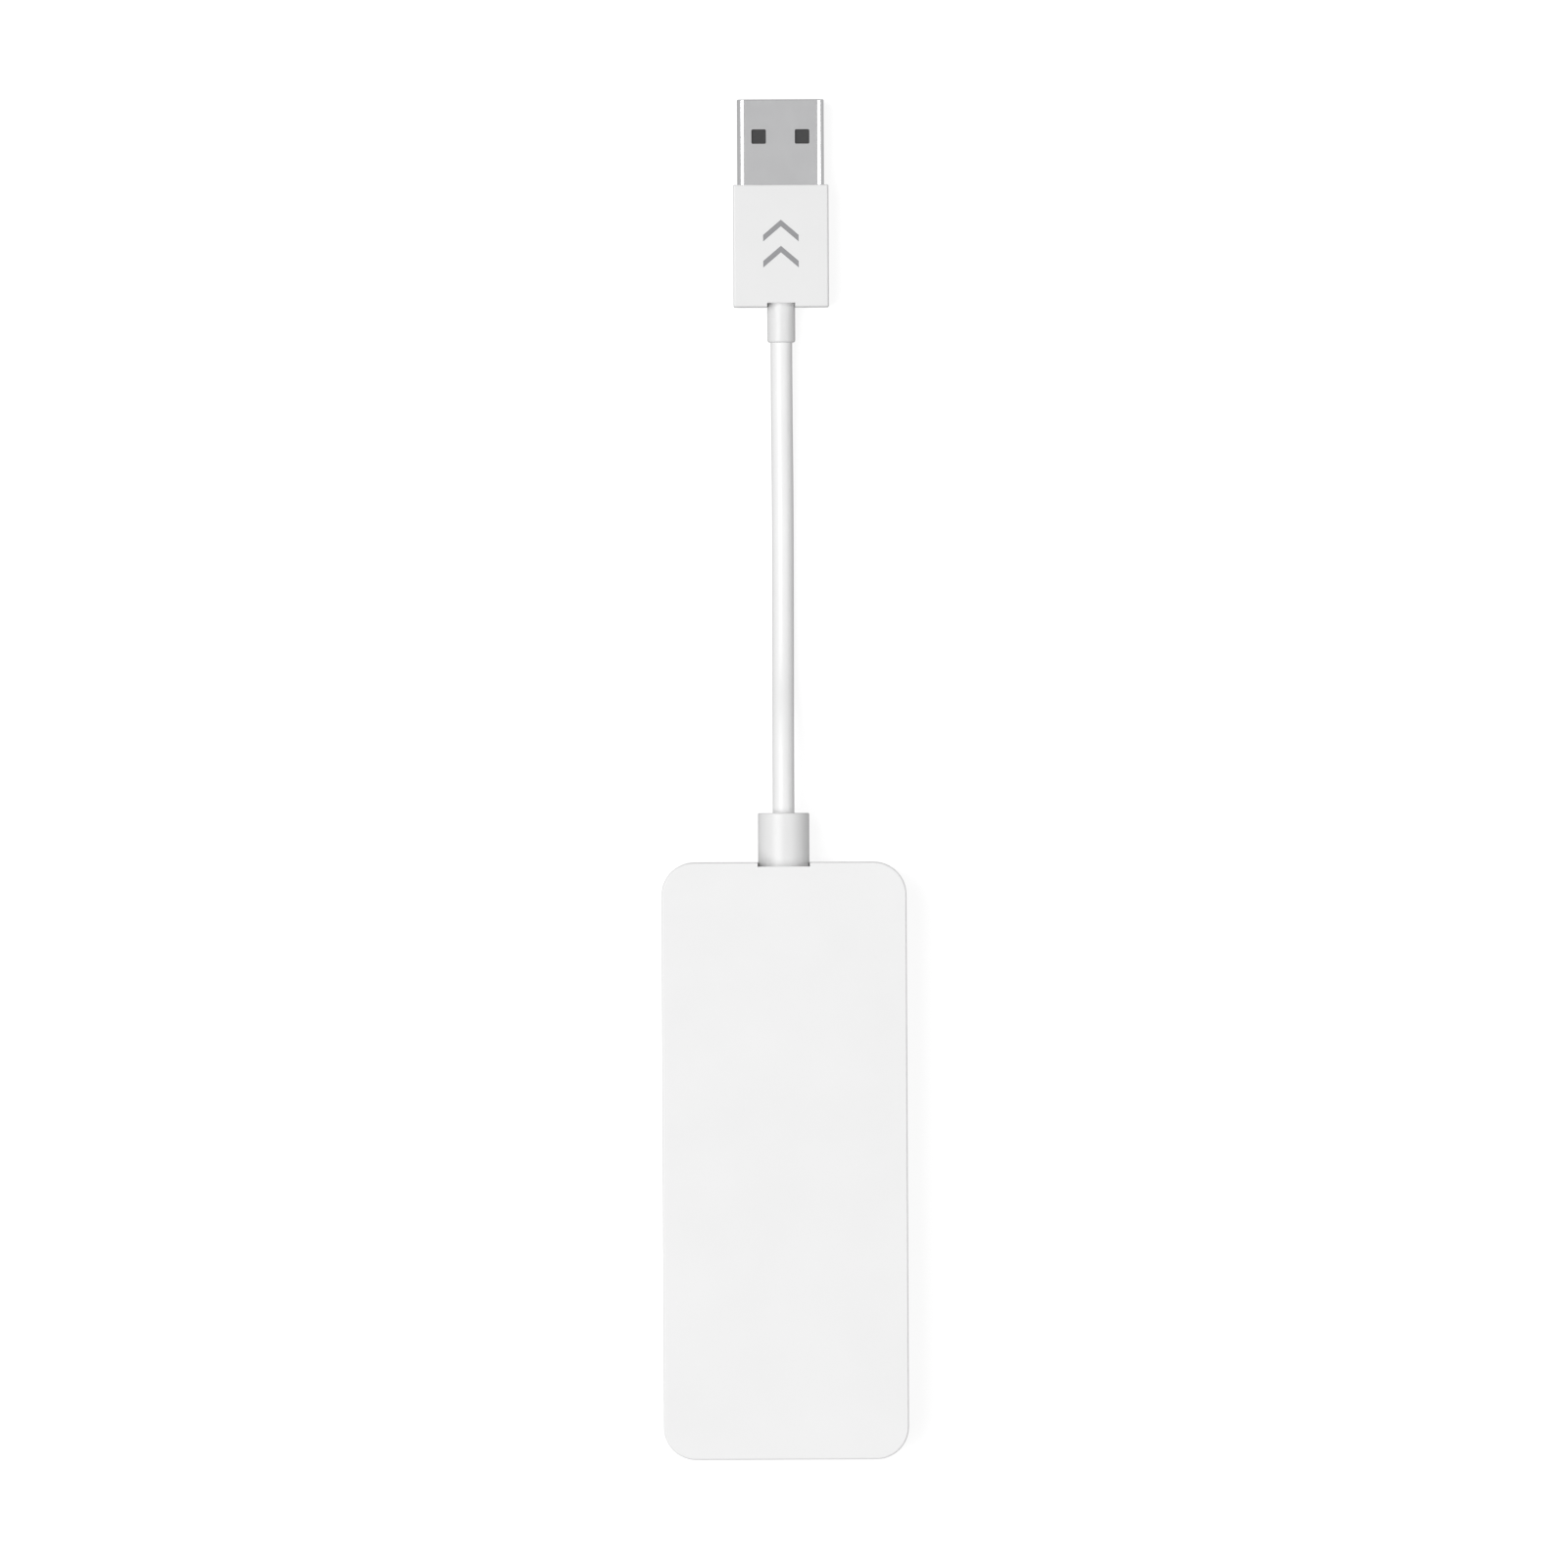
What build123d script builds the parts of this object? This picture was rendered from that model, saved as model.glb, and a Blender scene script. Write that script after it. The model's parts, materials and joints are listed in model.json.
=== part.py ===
from build123d import *
import math
import os

# Bluetooth audio receiver: a flat two-shell housing with a 3.5 mm socket in its front end,
# and a short round cord from its rear end to a USB-A plug. All lengths are millimetres.
# The origin is the centre of the housing's underside. +Z is up, and +Y runs along the cord
# towards the tip of the plug. Housing and plug both lie on the plane z = 0.

os.makedirs("parts", exist_ok=True)

# ------------------------------------------------------------------ housing
case_width = 33.8
case_length = 82.4
case_height = 12.0
case_corner = 4.5  # plan radius of the four upright corners
case_edge = 0.25  # rounding of the upper and lower rims
wall = 1.5
seam_height = 6.0  # the shells part half way up
seam_chamfer = 0.2
lip_height = 1.0
lip_thickness = 0.7
fit_gap = 0.05  # play on each side of pieces that slip together
arc_share = 0.45  # the part of a straight run that the arc at its end may use up

case_front = -case_length / 2
case_rear = case_length / 2
cavity_width = case_width - 2 * wall
cavity_length = case_length - 2 * wall
cavity_corner = case_corner - wall
ceiling = case_height - wall

# ------------------------------------------------------------------ circuit board
board_width = 28.0
board_length = 66.0
board_thickness = 1.0
board_corner = 1.0
standoff_height = 1.0
board_bottom = wall + standoff_height
board_top = board_bottom + board_thickness
board_front = case_front + 2.0
board_rear = board_front + board_length
board_middle = (board_front + board_rear) / 2

# ------------------------------------------------------------------ pins, posts and snap hooks
pin_radius = 0.95
pin_hole_radius = 1.0
standoff_radius = 2.0
pin_top = board_top + 2.0
post_x = 11.5
post_ys = (-33.0, 20.0)
post_places = [(side * post_x, y) for side in (-1, 1) for y in post_ys]

hook_width = 5.0
hook_ys = (-20.0, 8.0)
hook_inner = cavity_width / 2 - 1.0
hook_outer = cavity_width / 2 - 0.1
hook_reach = 0.45  # how far the barb stands out of the hook
hook_low = 3.9
hook_catch = 4.9
hook_slope = 0.1  # drop of the barb's upper face, so the shells can be parted
pocket_play = 0.1

# ------------------------------------------------------------------ boot and cord
cord_diameter = 3.0
cord_radius = cord_diameter / 2
cord_height = 6.0  # the boot's axis above the surface
boot_radius = 3.55
boot_length = 6.8  # outside the housing
boot_recess = 0.6  # depth of the seat in the housing's rear wall
boot_round = 0.2
neck_radius = 2.6
flange_size = 7.6
flange_thickness = 1.2
flange_corner = 1.0
boot_end = case_rear + boot_length
flange_front = case_rear - wall - flange_thickness
tail_end = 36.0  # where the jacket stops inside the housing
keeper_width = 11.0
keeper_thickness = 1.1
keeper_hole = 1.7

wire_radius = 0.45
wire_pitch = 1.1
wire_colours = ("red", "white", "green", "black")
wire_pad_pitch = 2.4
wire_end = board_rear - 1.3
wire_straight = 2.2  # straight run out of the jacket
wire_landing = 3.0  # straight run over the pad
joint_width = 1.4
joint_length = 2.2
joint_height = 1.0
joint_round = 0.3

# ------------------------------------------------------------------ USB-A plug
plug_height = 3.1  # the plug's axis above the surface
relief_radius = 1.93
relief_start = 113.0  # the cord goes in here
relief_round = 0.35
grip_width = 13.2
grip_thickness = 6.2
grip_start = 117.9
grip_length = 16.9
grip_round = 0.3
grip_rear_round = 0.25
grip_front_round = 0.2
grip_wall = 1.0
grip_end = grip_start + grip_length
relief_notch = 0.6
parting_width = 0.12
parting_depth = 0.06
collar_radius = 2.5
collar_thickness = 1.0
tail_grip = 3.1  # length of jacket inside the grip, past its rear wall

shell_width = 12.0
shell_thickness = 4.5
shell_wall = 0.3
shell_corner = 0.9
shell_tip_round = 0.15
shell_exposed = 11.8
shell_buried = 6.0
shell_start = grip_end - shell_buried
shell_tip = grip_end + shell_exposed
latch_size = 2.0
latch_pitch = 6.0
latch_setback = 5.14  # hole centres behind the tip
latch_corner = 0.2
seam_slot_width = 0.15
seam_slot_depth = 0.1

tongue_width = 11.1
tongue_thickness = 1.85
tongue_setback = 0.7
tongue_edge = 0.3  # bevel of the long edges, clear of the shell's round corners
tongue_nose = 0.25  # bevel round the front
mouth_depth = 9.5
contact_width = 1.0
contact_thickness = 0.25
contact_proud = 0.05
contact_round = 0.3
contact_xs = (-3.5, -1.0, 1.0, 3.5)
contact_setbacks = (1.1, 2.1, 2.1, 1.1)  # power contacts reach further out than data ones
contact_start = shell_start - 2.8
plug_wire_radius = 0.4
plug_wire_pitch = 1.0
plug_wire_straight = 0.8  # straight run at each end

mould_width = 11.0
mould_thickness = 4.6
mould_corner = 0.5
mould_start = grip_start + grip_wall + collar_thickness

chevron_width = 4.9
chevron_rise = 2.1
chevron_stroke = 0.9
chevron_pitch = 3.6
chevron_depth = 0.2
chevron_proud = 0.02
mark_middle = grip_start + grip_length / 2

# ------------------------------------------------------------------ 3.5 mm socket and light pipe
jack_width = 7.0
jack_length = 14.0
jack_body_height = 5.0
jack_height = board_top + jack_body_height / 2
jack_bore_radius = 1.8
jack_bore_depth = 14.5
jack_nose_radius = 2.9
jack_nose_edge = 0.2
jack_mouth_edge = 0.25
jack_body_edge = 0.5
jack_slot = 0.6  # height of the slots for the spring contacts
jack_inset = 0.1  # the nose stops this far behind the end face
jack_mouth = case_front + jack_inset
contact_strip = 0.2
contact_band = 1.6
contact_clearance = 0.07  # the strips stop this far outside the bore
contact_foot = 1.4
jack_contact_places = {"sleeve": (-1, -35.6), "ring": (1, -32.2), "tip": (-1, -28.6)}

pipe_x = 8.0
pipe_radius = 1.0
pipe_collar_radius = 1.5
pipe_collar_thickness = 0.7
pipe_collar_gap = 0.1
pipe_corner = -37.4  # the light turns down towards its LED here
led_width = 1.6
led_length = 0.8
led_height = 0.7
led_gap = 0.1  # between the light and the pipe

# ------------------------------------------------------------------ radio shield and components
can_x = 0.0
can_y = -8.0
can_width = 16.0
can_length = 14.0
can_height = 2.2
can_metal = 0.2
can_corner = 0.6
can_round = 0.3

# Plain components: name, middle x and y, then width, length and height.
plain_components = (
    ("bluetooth_chip", -2.5, can_y, 7.0, 7.0, 0.9),
    ("crystal", 4.8, can_y, 2.5, 3.2, 0.7),
    ("chip_antenna", 10.8, -17.0, 2.0, 7.0, 0.8),
    ("audio_codec", -7.5, 6.0, 5.0, 5.0, 0.9),
    ("power_inductor", -2.0, 17.0, 4.0, 4.0, 2.0),
    ("status_led", pipe_x, pipe_corner, led_width, led_length, led_height),
    ("ceramic_capacitor_1", -12.2, -22.5, 0.8, 1.6, 0.8),
    ("ceramic_capacitor_2", -12.2, 1.0, 0.8, 1.6, 0.8),
    ("ceramic_capacitor_3", -12.2, 12.5, 0.8, 1.6, 0.8),
    ("resistor_1", -2.2, -18.5, 0.8, 1.6, 0.45),
    ("resistor_2", 0.0, -18.5, 0.8, 1.6, 0.45),
    ("resistor_3", 2.2, -18.5, 0.8, 1.6, 0.45),
)
component_edge = 0.08

# Packages with leads: name, middle x and y, width, length, height, leads a side, and their pitch.
leaded_components = (
    ("flash_memory", 8.6, 6.0, 4.0, 5.0, 1.5, 4, 1.27),
    ("headphone_amplifier", 0.5, 5.5, 3.0, 4.9, 1.1, 5, 0.95),
    ("voltage_regulator", -7.0, 17.5, 1.6, 2.9, 1.1, 3, 0.95),
)
package_gap = 0.1  # under the moulded body
package_edge = 0.15
lead_width = 0.4
lead_reach = 0.8
lead_thickness = 0.2

# Aluminium cans: name, middle x and y, radius and height.
can_components = (
    ("output_capacitor_1", -6.3, -20.0, 2.0, 5.4),
    ("output_capacitor_2", 6.3, -20.0, 2.0, 5.4),
    ("supply_capacitor", 4.4, 17.0, 2.5, 5.4),
)
capacitor_base = 0.8
capacitor_margin = 0.3
capacitor_round = 0.35


def cross_section(y):
    """Upright plane across the Y axis; extruding from it runs towards -Y."""
    return Plane(origin=(0, y, 0), x_dir=(1, 0, 0), z_dir=(0, -1, 0))


def save(piece, name):
    """Label a finished piece and write it to its own STEP file."""
    piece.part.label = name
    export_step(piece.part, f"parts/{name}.step")


def arc_radii(points):
    """The largest arc that each corner has room for, given the runs on either side of it."""
    radii = []
    for before, corner, after in zip(points, points[1:], points[2:]):
        run_in = Vector(*corner) - Vector(*before)
        run_out = Vector(*after) - Vector(*corner)
        half_turn = math.radians(run_in.get_angle(run_out)) / 2
        radii.append(arc_share * min(run_in.length, run_out.length) / math.tan(half_turn))
    return radii


def tube(points, radius):
    """A round tube along straight runs joined by tangent arcs; it sets off towards +Y or -Y."""
    heading = (0, 1, 0) if points[1][1] > points[0][1] else (0, -1, 0)
    with BuildPart() as piece:
        with BuildLine():
            FilletPolyline(*points, radius=arc_radii(points))
        with BuildSketch(Plane(origin=points[0], x_dir=(1, 0, 0), z_dir=heading)):
            Circle(radius)
        sweep()
    return piece


def rod(start, end, height, radius):
    """A straight round rod along Y."""
    with BuildPart() as piece:
        with BuildSketch(cross_section(end)):
            with Locations((0, height)):
                Circle(radius)
        extrude(amount=end - start)
    return piece


def block(x, y, width, length, height):
    """A small rectangular component that stands on the board."""
    with BuildPart() as piece:
        with BuildSketch(Plane.XY.offset(board_top)):
            with Locations((x, y)):
                Rectangle(width, length)
        extrude(amount=height)
        chamfer(piece.faces().sort_by(Axis.Z)[-1].edges(), length=component_edge)
    return piece


def leaded_chip(x, y, width, length, height, leads, pitch):
    """A moulded package with a row of leads down each long side."""
    with BuildPart() as piece:
        with BuildSketch(Plane.XY.offset(board_top + package_gap)):
            with Locations((x, y)):
                Rectangle(width, length)
        extrude(amount=height - package_gap)
        chamfer(piece.faces().sort_by(Axis.Z)[-1].edges(), length=package_edge)
        # The leads run right across under the body, so they stay joined to it.
        with BuildSketch(Plane.XY.offset(board_top)):
            with Locations((x, y)):
                with GridLocations(0, pitch, 1, leads):
                    Rectangle(width + 2 * lead_reach, lead_width)
        extrude(amount=lead_thickness)
    return piece


def can_capacitor(x, y, radius, height):
    """A surface-mount aluminium can on its square plastic base."""
    base_width = 2 * radius + capacitor_margin
    with BuildPart() as piece:
        with BuildSketch(Plane.XY.offset(board_top)):
            with Locations((x, y)):
                Rectangle(base_width, base_width)
        extrude(amount=capacitor_base)
        with BuildSketch(Plane.XY.offset(board_top + capacitor_base)):
            with Locations((x, y)):
                Circle(radius)
        extrude(amount=height - capacitor_base)
        fillet(piece.faces().sort_by(Axis.Z)[-1].edges(), radius=capacitor_round)
    return piece


# ------------------------------------------------------------------ lower shell
with BuildPart() as bottom_shell:
    with BuildSketch(Plane.XY):
        RectangleRounded(case_width, case_length, case_corner)
    extrude(amount=seam_height)
    fillet(bottom_shell.faces().sort_by(Axis.Z)[0].edges(), radius=case_edge)
    chamfer(bottom_shell.faces().sort_by(Axis.Z)[-1].edges(), length=seam_chamfer)
    with BuildSketch(Plane.XY.offset(wall)):
        RectangleRounded(cavity_width, cavity_length, cavity_corner)
    extrude(amount=seam_height, mode=Mode.SUBTRACT)
    # A raised lip runs round the inside of the rim and locates the upper shell.
    with BuildSketch(Plane.XY.offset(seam_height)):
        lip_width = cavity_width + 2 * lip_thickness
        lip_length = cavity_length + 2 * lip_thickness
        RectangleRounded(lip_width, lip_length, cavity_corner + lip_thickness)
        RectangleRounded(cavity_width, cavity_length, cavity_corner, mode=Mode.SUBTRACT)
    extrude(amount=lip_height)
    # Four stand-offs carry the board, and their pins pass through it.
    with BuildSketch(Plane.XY.offset(wall)):
        with Locations(*post_places):
            Circle(standoff_radius)
    extrude(amount=standoff_height)
    with BuildSketch(Plane.XY.offset(board_bottom)):
        with Locations(*post_places):
            Circle(pin_radius)
    extrude(amount=pin_top - board_bottom)
    # Pockets in the long walls take the upper shell's hooks.
    with BuildSketch(Plane.XY.offset(hook_low - pocket_play)):
        for side in (-1, 1):
            with Locations(*[(side * (cavity_width / 2 + hook_reach / 2), y) for y in hook_ys]):
                Rectangle(hook_reach, hook_width + 2 * pocket_play)
    extrude(amount=hook_catch - hook_low + 2 * pocket_play, mode=Mode.SUBTRACT)
    # Lower half of the keeper that traps the boot's flange against the rear wall.
    with BuildSketch(cross_section(flange_front - pocket_play)):
        with Locations((0, (wall + seam_height) / 2)):
            Rectangle(keeper_width, seam_height - wall)
        with Locations((0, cord_height)):
            Circle(keeper_hole, mode=Mode.SUBTRACT)
    extrude(amount=keeper_thickness)
    # Seat and passage of the boot.
    with BuildSketch(cross_section(case_rear)):
        with Locations((0, cord_height)):
            Circle(boot_radius + fit_gap)
    extrude(amount=boot_recess, mode=Mode.SUBTRACT)
    with BuildSketch(cross_section(case_rear)):
        with Locations((0, cord_height)):
            Circle(neck_radius + fit_gap)
    extrude(amount=wall, mode=Mode.SUBTRACT)
    # Passages of the socket's nose and of the light pipe.
    with BuildSketch(cross_section(case_front + wall)):
        with Locations((0, jack_height)):
            Circle(jack_nose_radius + fit_gap)
        with Locations((pipe_x, jack_height)):
            Circle(pipe_radius + fit_gap)
    extrude(amount=wall, mode=Mode.SUBTRACT)
save(bottom_shell, "bottom_shell")

# ------------------------------------------------------------------ upper shell
with BuildPart() as top_shell:
    with BuildSketch(Plane.XY.offset(seam_height)):
        RectangleRounded(case_width, case_length, case_corner)
    extrude(amount=case_height - seam_height)
    fillet(top_shell.faces().sort_by(Axis.Z)[-1].edges(), radius=case_edge)
    chamfer(top_shell.faces().sort_by(Axis.Z)[0].edges(), length=seam_chamfer)
    with BuildSketch(Plane.XY.offset(seam_height)):
        RectangleRounded(cavity_width, cavity_length, cavity_corner)
    extrude(amount=ceiling - seam_height, mode=Mode.SUBTRACT)
    # The rim is rebated to take the lower shell's lip.
    rebate = lip_thickness + fit_gap
    with BuildSketch(Plane.XY.offset(seam_height)):
        RectangleRounded(cavity_width + 2 * rebate, cavity_length + 2 * rebate, cavity_corner + rebate)
    extrude(amount=lip_height + fit_gap, mode=Mode.SUBTRACT)
    # Hollow posts come down on the board over the pins.
    with BuildSketch(Plane.XY.offset(board_top + fit_gap)):
        with Locations(*post_places):
            Circle(standoff_radius)
    extrude(amount=ceiling - board_top - fit_gap)
    with BuildSketch(Plane.XY.offset(board_top + fit_gap)):
        with Locations(*post_places):
            Circle(pin_hole_radius)
    extrude(amount=pin_top - board_top, mode=Mode.SUBTRACT)
    # Four snap hooks hang from the ceiling beside the long walls.
    for side in (-1, 1):
        for hook_y in hook_ys:
            with BuildSketch(cross_section(hook_y + hook_width / 2)):
                with BuildLine():
                    Polyline(
                        (side * hook_inner, ceiling),
                        (side * hook_outer, ceiling),
                        (side * hook_outer, hook_catch),
                        (side * (hook_outer + hook_reach), hook_catch - hook_slope),
                        (side * hook_outer, hook_low),
                        (side * hook_inner, hook_low),
                        close=True,
                    )
                make_face()
            extrude(amount=hook_width)
    # Upper half of the flange keeper.
    with BuildSketch(cross_section(flange_front - pocket_play)):
        with Locations((0, (ceiling + seam_height) / 2)):
            Rectangle(keeper_width, ceiling - seam_height)
        with Locations((0, cord_height)):
            Circle(keeper_hole, mode=Mode.SUBTRACT)
    extrude(amount=keeper_thickness)
    # The boot's seat is open upwards, so the boot shows a little way into the rim.
    with BuildSketch(cross_section(case_rear)):
        with Locations((0, cord_height)):
            Circle(boot_radius + fit_gap)
        with Locations((0, (cord_height + case_height) / 2)):
            Rectangle(2 * (boot_radius + fit_gap), case_height - cord_height)
    extrude(amount=boot_recess, mode=Mode.SUBTRACT)
    with BuildSketch(cross_section(case_rear)):
        with Locations((0, cord_height)):
            Circle(neck_radius + fit_gap)
    extrude(amount=wall, mode=Mode.SUBTRACT)
    with BuildSketch(cross_section(case_front + wall)):
        with Locations((0, jack_height)):
            Circle(jack_nose_radius + fit_gap)
        with Locations((pipe_x, jack_height)):
            Circle(pipe_radius + fit_gap)
    extrude(amount=wall, mode=Mode.SUBTRACT)
save(top_shell, "top_shell")

# ------------------------------------------------------------------ boot at the housing
with BuildPart() as cord_boot:
    with BuildSketch(cross_section(boot_end)):
        with Locations((0, cord_height)):
            Circle(boot_radius)
    extrude(amount=boot_end - case_rear + boot_recess)
    fillet(cord_boot.faces().sort_by(Axis.Y)[-1].edges(), radius=boot_round)
    with BuildSketch(cross_section(case_rear - boot_recess)):
        with Locations((0, cord_height)):
            Circle(neck_radius)
    extrude(amount=wall - boot_recess)
    with BuildSketch(cross_section(case_rear - wall)):
        with Locations((0, cord_height)):
            RectangleRounded(flange_size, flange_size, flange_corner)
    extrude(amount=flange_thickness)
    with BuildSketch(cross_section(boot_end)):
        with Locations((0, cord_height)):
            Circle(cord_radius)
    extrude(amount=boot_end - flange_front, mode=Mode.SUBTRACT)
save(cord_boot, "cord_boot")

# ------------------------------------------------------------------ cord
# It leaves the boot level, comes down to the surface, and rises a little to the plug.
cord_points = [
    (0, boot_end, cord_height),
    (0, 57, cord_height),
    (0.05, 70, 1.55),
    (0.1, 92, 1.55),
    (0, 104, plug_height),
    (0, relief_start, plug_height),
]
cord = tube(cord_points, cord_radius)
save(cord, "cord")
cord_length = cord.part.volume / (math.pi * cord_radius**2)
print("cord length", round(cord_length, 2), "radii", [round(r, 1) for r in arc_radii(cord_points)])

cord_tail_case = rod(tail_end, boot_end, cord_height, cord_radius)
save(cord_tail_case, "cord_tail_case")
tail_stop = grip_start + grip_wall + tail_grip
cord_tail_plug = rod(relief_start, tail_stop, plug_height, cord_radius)
save(cord_tail_plug, "cord_tail_plug")

# ------------------------------------------------------------------ conductors in the housing
# Each wire leaves its quarter of the bundle, fans out, and drops to its pad on the board.
bundle_sides = (-1, -1, 1, 1)
bundle_levels = (1, -1, -1, 1)
for index, colour in enumerate(wire_colours):
    pad_x = (index - 1.5) * wire_pad_pitch
    start_x = bundle_sides[index] * wire_pitch / 2
    start_z = cord_height + bundle_levels[index] * wire_pitch / 2
    wire_points = [
        (start_x, tail_end, start_z),
        (start_x, tail_end - wire_straight, start_z),
        (pad_x, wire_end + wire_landing, board_top + wire_radius + fit_gap),
        (pad_x, wire_end, board_top + wire_radius + fit_gap),
    ]
    save(tube(wire_points, wire_radius), f"wire_{colour}")
    with BuildPart() as solder_joint:
        with BuildSketch(Plane.XY.offset(board_top)):
            with Locations((pad_x, wire_end - joint_length / 2)):
                Rectangle(joint_width, joint_length)
        extrude(amount=joint_height)
        fillet(solder_joint.faces().sort_by(Axis.Z)[-1].edges(), radius=joint_round)
    save(solder_joint, f"solder_joint_{colour}")

# ------------------------------------------------------------------ circuit board
with BuildPart() as main_board:
    with BuildSketch(Plane.XY.offset(board_bottom)):
        with Locations((0, board_middle)):
            RectangleRounded(board_width, board_length, board_corner)
        with Locations(*post_places):
            Circle(pin_hole_radius, mode=Mode.SUBTRACT)
    extrude(amount=board_thickness)
save(main_board, "main_board")

# The radio sits under a drawn metal can with its crystal.
with BuildPart() as shield_can:
    with BuildSketch(Plane.XY.offset(board_top)):
        with Locations((can_x, can_y)):
            RectangleRounded(can_width, can_length, can_corner)
    extrude(amount=can_height)
    fillet(shield_can.faces().sort_by(Axis.Z)[-1].edges(), radius=can_round)
    with BuildSketch(Plane.XY.offset(board_top)):
        with Locations((can_x, can_y)):
            RectangleRounded(can_width - 2 * can_metal, can_length - 2 * can_metal, can_corner - can_metal)
    extrude(amount=can_height - can_metal, mode=Mode.SUBTRACT)
save(shield_can, "shield_can")

for component, *sizes in plain_components:
    save(block(*sizes), component)
for component, *sizes in leaded_components:
    save(leaded_chip(*sizes), component)
for component, *sizes in can_components:
    save(can_capacitor(*sizes), component)

# ------------------------------------------------------------------ 3.5 mm socket
jack_back = board_front + jack_length
with BuildPart() as audio_jack:
    with BuildSketch(Plane.XY.offset(board_top)):
        with Locations((0, board_front + jack_length / 2)):
            Rectangle(jack_width, jack_length)
    extrude(amount=jack_body_height)
    chamfer(audio_jack.edges().filter_by(Axis.Y).group_by(Axis.Z)[-1], length=jack_body_edge)
    with BuildSketch(cross_section(board_front)):
        with Locations((0, jack_height)):
            Circle(jack_nose_radius)
    extrude(amount=board_front - jack_mouth)
    chamfer(audio_jack.faces().sort_by(Axis.Y)[0].edges(), length=jack_nose_edge)
    with BuildSketch(cross_section(jack_mouth + jack_bore_depth)):
        with Locations((0, jack_height)):
            Circle(jack_bore_radius)
    extrude(amount=jack_bore_depth, mode=Mode.SUBTRACT)
    mouth_edges = audio_jack.faces().sort_by(Axis.Y)[0].edges().sort_by(SortBy.RADIUS)
    chamfer(mouth_edges[0], length=jack_mouth_edge)
    # One slot in the side for each spring contact.
    for side, contact_y in jack_contact_places.values():
        with BuildSketch(Plane.XY.offset(jack_height - jack_slot / 2)):
            with Locations((side * jack_width / 4, contact_y)):
                Rectangle(jack_width / 2, contact_band + 4 * fit_gap)
        extrude(amount=jack_slot, mode=Mode.SUBTRACT)
save(audio_jack, "audio_jack")

side_face = jack_width / 2
strip_end = jack_bore_radius + contact_clearance
foot_end = side_face + contact_foot
for contact_name, (side, contact_y) in jack_contact_places.items():
    with BuildPart() as jack_contact:
        with BuildSketch(cross_section(contact_y + contact_band / 2)):
            with BuildLine():
                Polyline(
                    (side * strip_end, jack_height - contact_strip / 2),
                    (side * side_face, jack_height - contact_strip / 2),
                    (side * side_face, board_top),
                    (side * foot_end, board_top),
                    (side * foot_end, board_top + contact_strip),
                    (side * (side_face + contact_strip), board_top + contact_strip),
                    (side * (side_face + contact_strip), jack_height + contact_strip / 2),
                    (side * strip_end, jack_height + contact_strip / 2),
                    close=True,
                )
            make_face()
        extrude(amount=contact_band)
    save(jack_contact, f"jack_contact_{contact_name}")

# ------------------------------------------------------------------ light pipe
pipe_back = pipe_corner + pipe_radius
pipe_foot = board_top + led_height + led_gap
with BuildPart() as light_pipe:
    with BuildSketch(cross_section(pipe_back)):
        with Locations((pipe_x, jack_height)):
            Circle(pipe_radius)
    extrude(amount=pipe_back - jack_mouth)
    with BuildSketch(cross_section(case_front + wall + pipe_collar_gap + pipe_collar_thickness)):
        with Locations((pipe_x, jack_height)):
            Circle(pipe_collar_radius)
    extrude(amount=pipe_collar_thickness)
    with BuildSketch(Plane.XY.offset(pipe_foot)):
        with Locations((pipe_x, pipe_corner)):
            Circle(pipe_radius)
    extrude(amount=jack_height - pipe_foot)
    # The outer corner is cut at 45 degrees to turn the light.
    with BuildSketch(Plane.YZ.offset(pipe_x + 2 * pipe_radius)):
        with BuildLine():
            Polyline(
                (pipe_back - 2 * pipe_radius, jack_height + pipe_radius),
                (pipe_back + pipe_radius, jack_height + pipe_radius),
                (pipe_back + pipe_radius, jack_height - 2 * pipe_radius),
                close=True,
            )
        make_face()
    extrude(amount=-4 * pipe_radius, mode=Mode.SUBTRACT)
save(light_pipe, "light_pipe")

# ------------------------------------------------------------------ plug: shell, tongue, contacts
inner_width = shell_width - 2 * shell_wall
inner_thickness = shell_thickness - 2 * shell_wall
with BuildPart() as plug_shell:
    with BuildSketch(cross_section(shell_tip)):
        with Locations((0, plug_height)):
            RectangleRounded(shell_width, shell_thickness, shell_corner)
    extrude(amount=shell_tip - shell_start)
    fillet(plug_shell.faces().sort_by(Axis.Y)[-1].edges(), radius=shell_tip_round)
    with BuildSketch(cross_section(shell_tip)):
        with Locations((0, plug_height)):
            RectangleRounded(inner_width, inner_thickness, shell_corner - shell_wall)
    extrude(amount=shell_tip - shell_start, mode=Mode.SUBTRACT)
    # Two square latch holes go through the upper wall and two through the lower one.
    with BuildSketch(Plane.XY):
        with Locations((0, shell_tip - latch_setback)):
            with GridLocations(latch_pitch, 0, 2, 1):
                RectangleRounded(latch_size, latch_size, latch_corner)
    extrude(amount=grip_thickness, mode=Mode.SUBTRACT)
    # The rolled shell closes along a fine seam underneath.
    with BuildSketch(Plane.XY.offset(plug_height - shell_thickness / 2)):
        with Locations((0, (shell_start + shell_tip) / 2)):
            Rectangle(seam_slot_width, shell_tip - shell_start)
    extrude(amount=seam_slot_depth, mode=Mode.SUBTRACT)
save(plug_shell, "plug_shell")

# The tongue lies under the shell's upper wall, and its contacts face down into the open half.
tongue_top = plug_height + inner_thickness / 2 - fit_gap
tongue_bottom = tongue_top - tongue_thickness
tongue_tip = shell_tip - tongue_setback
mouth_back = shell_tip - mouth_depth
contact_bottom = tongue_bottom - contact_proud

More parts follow.
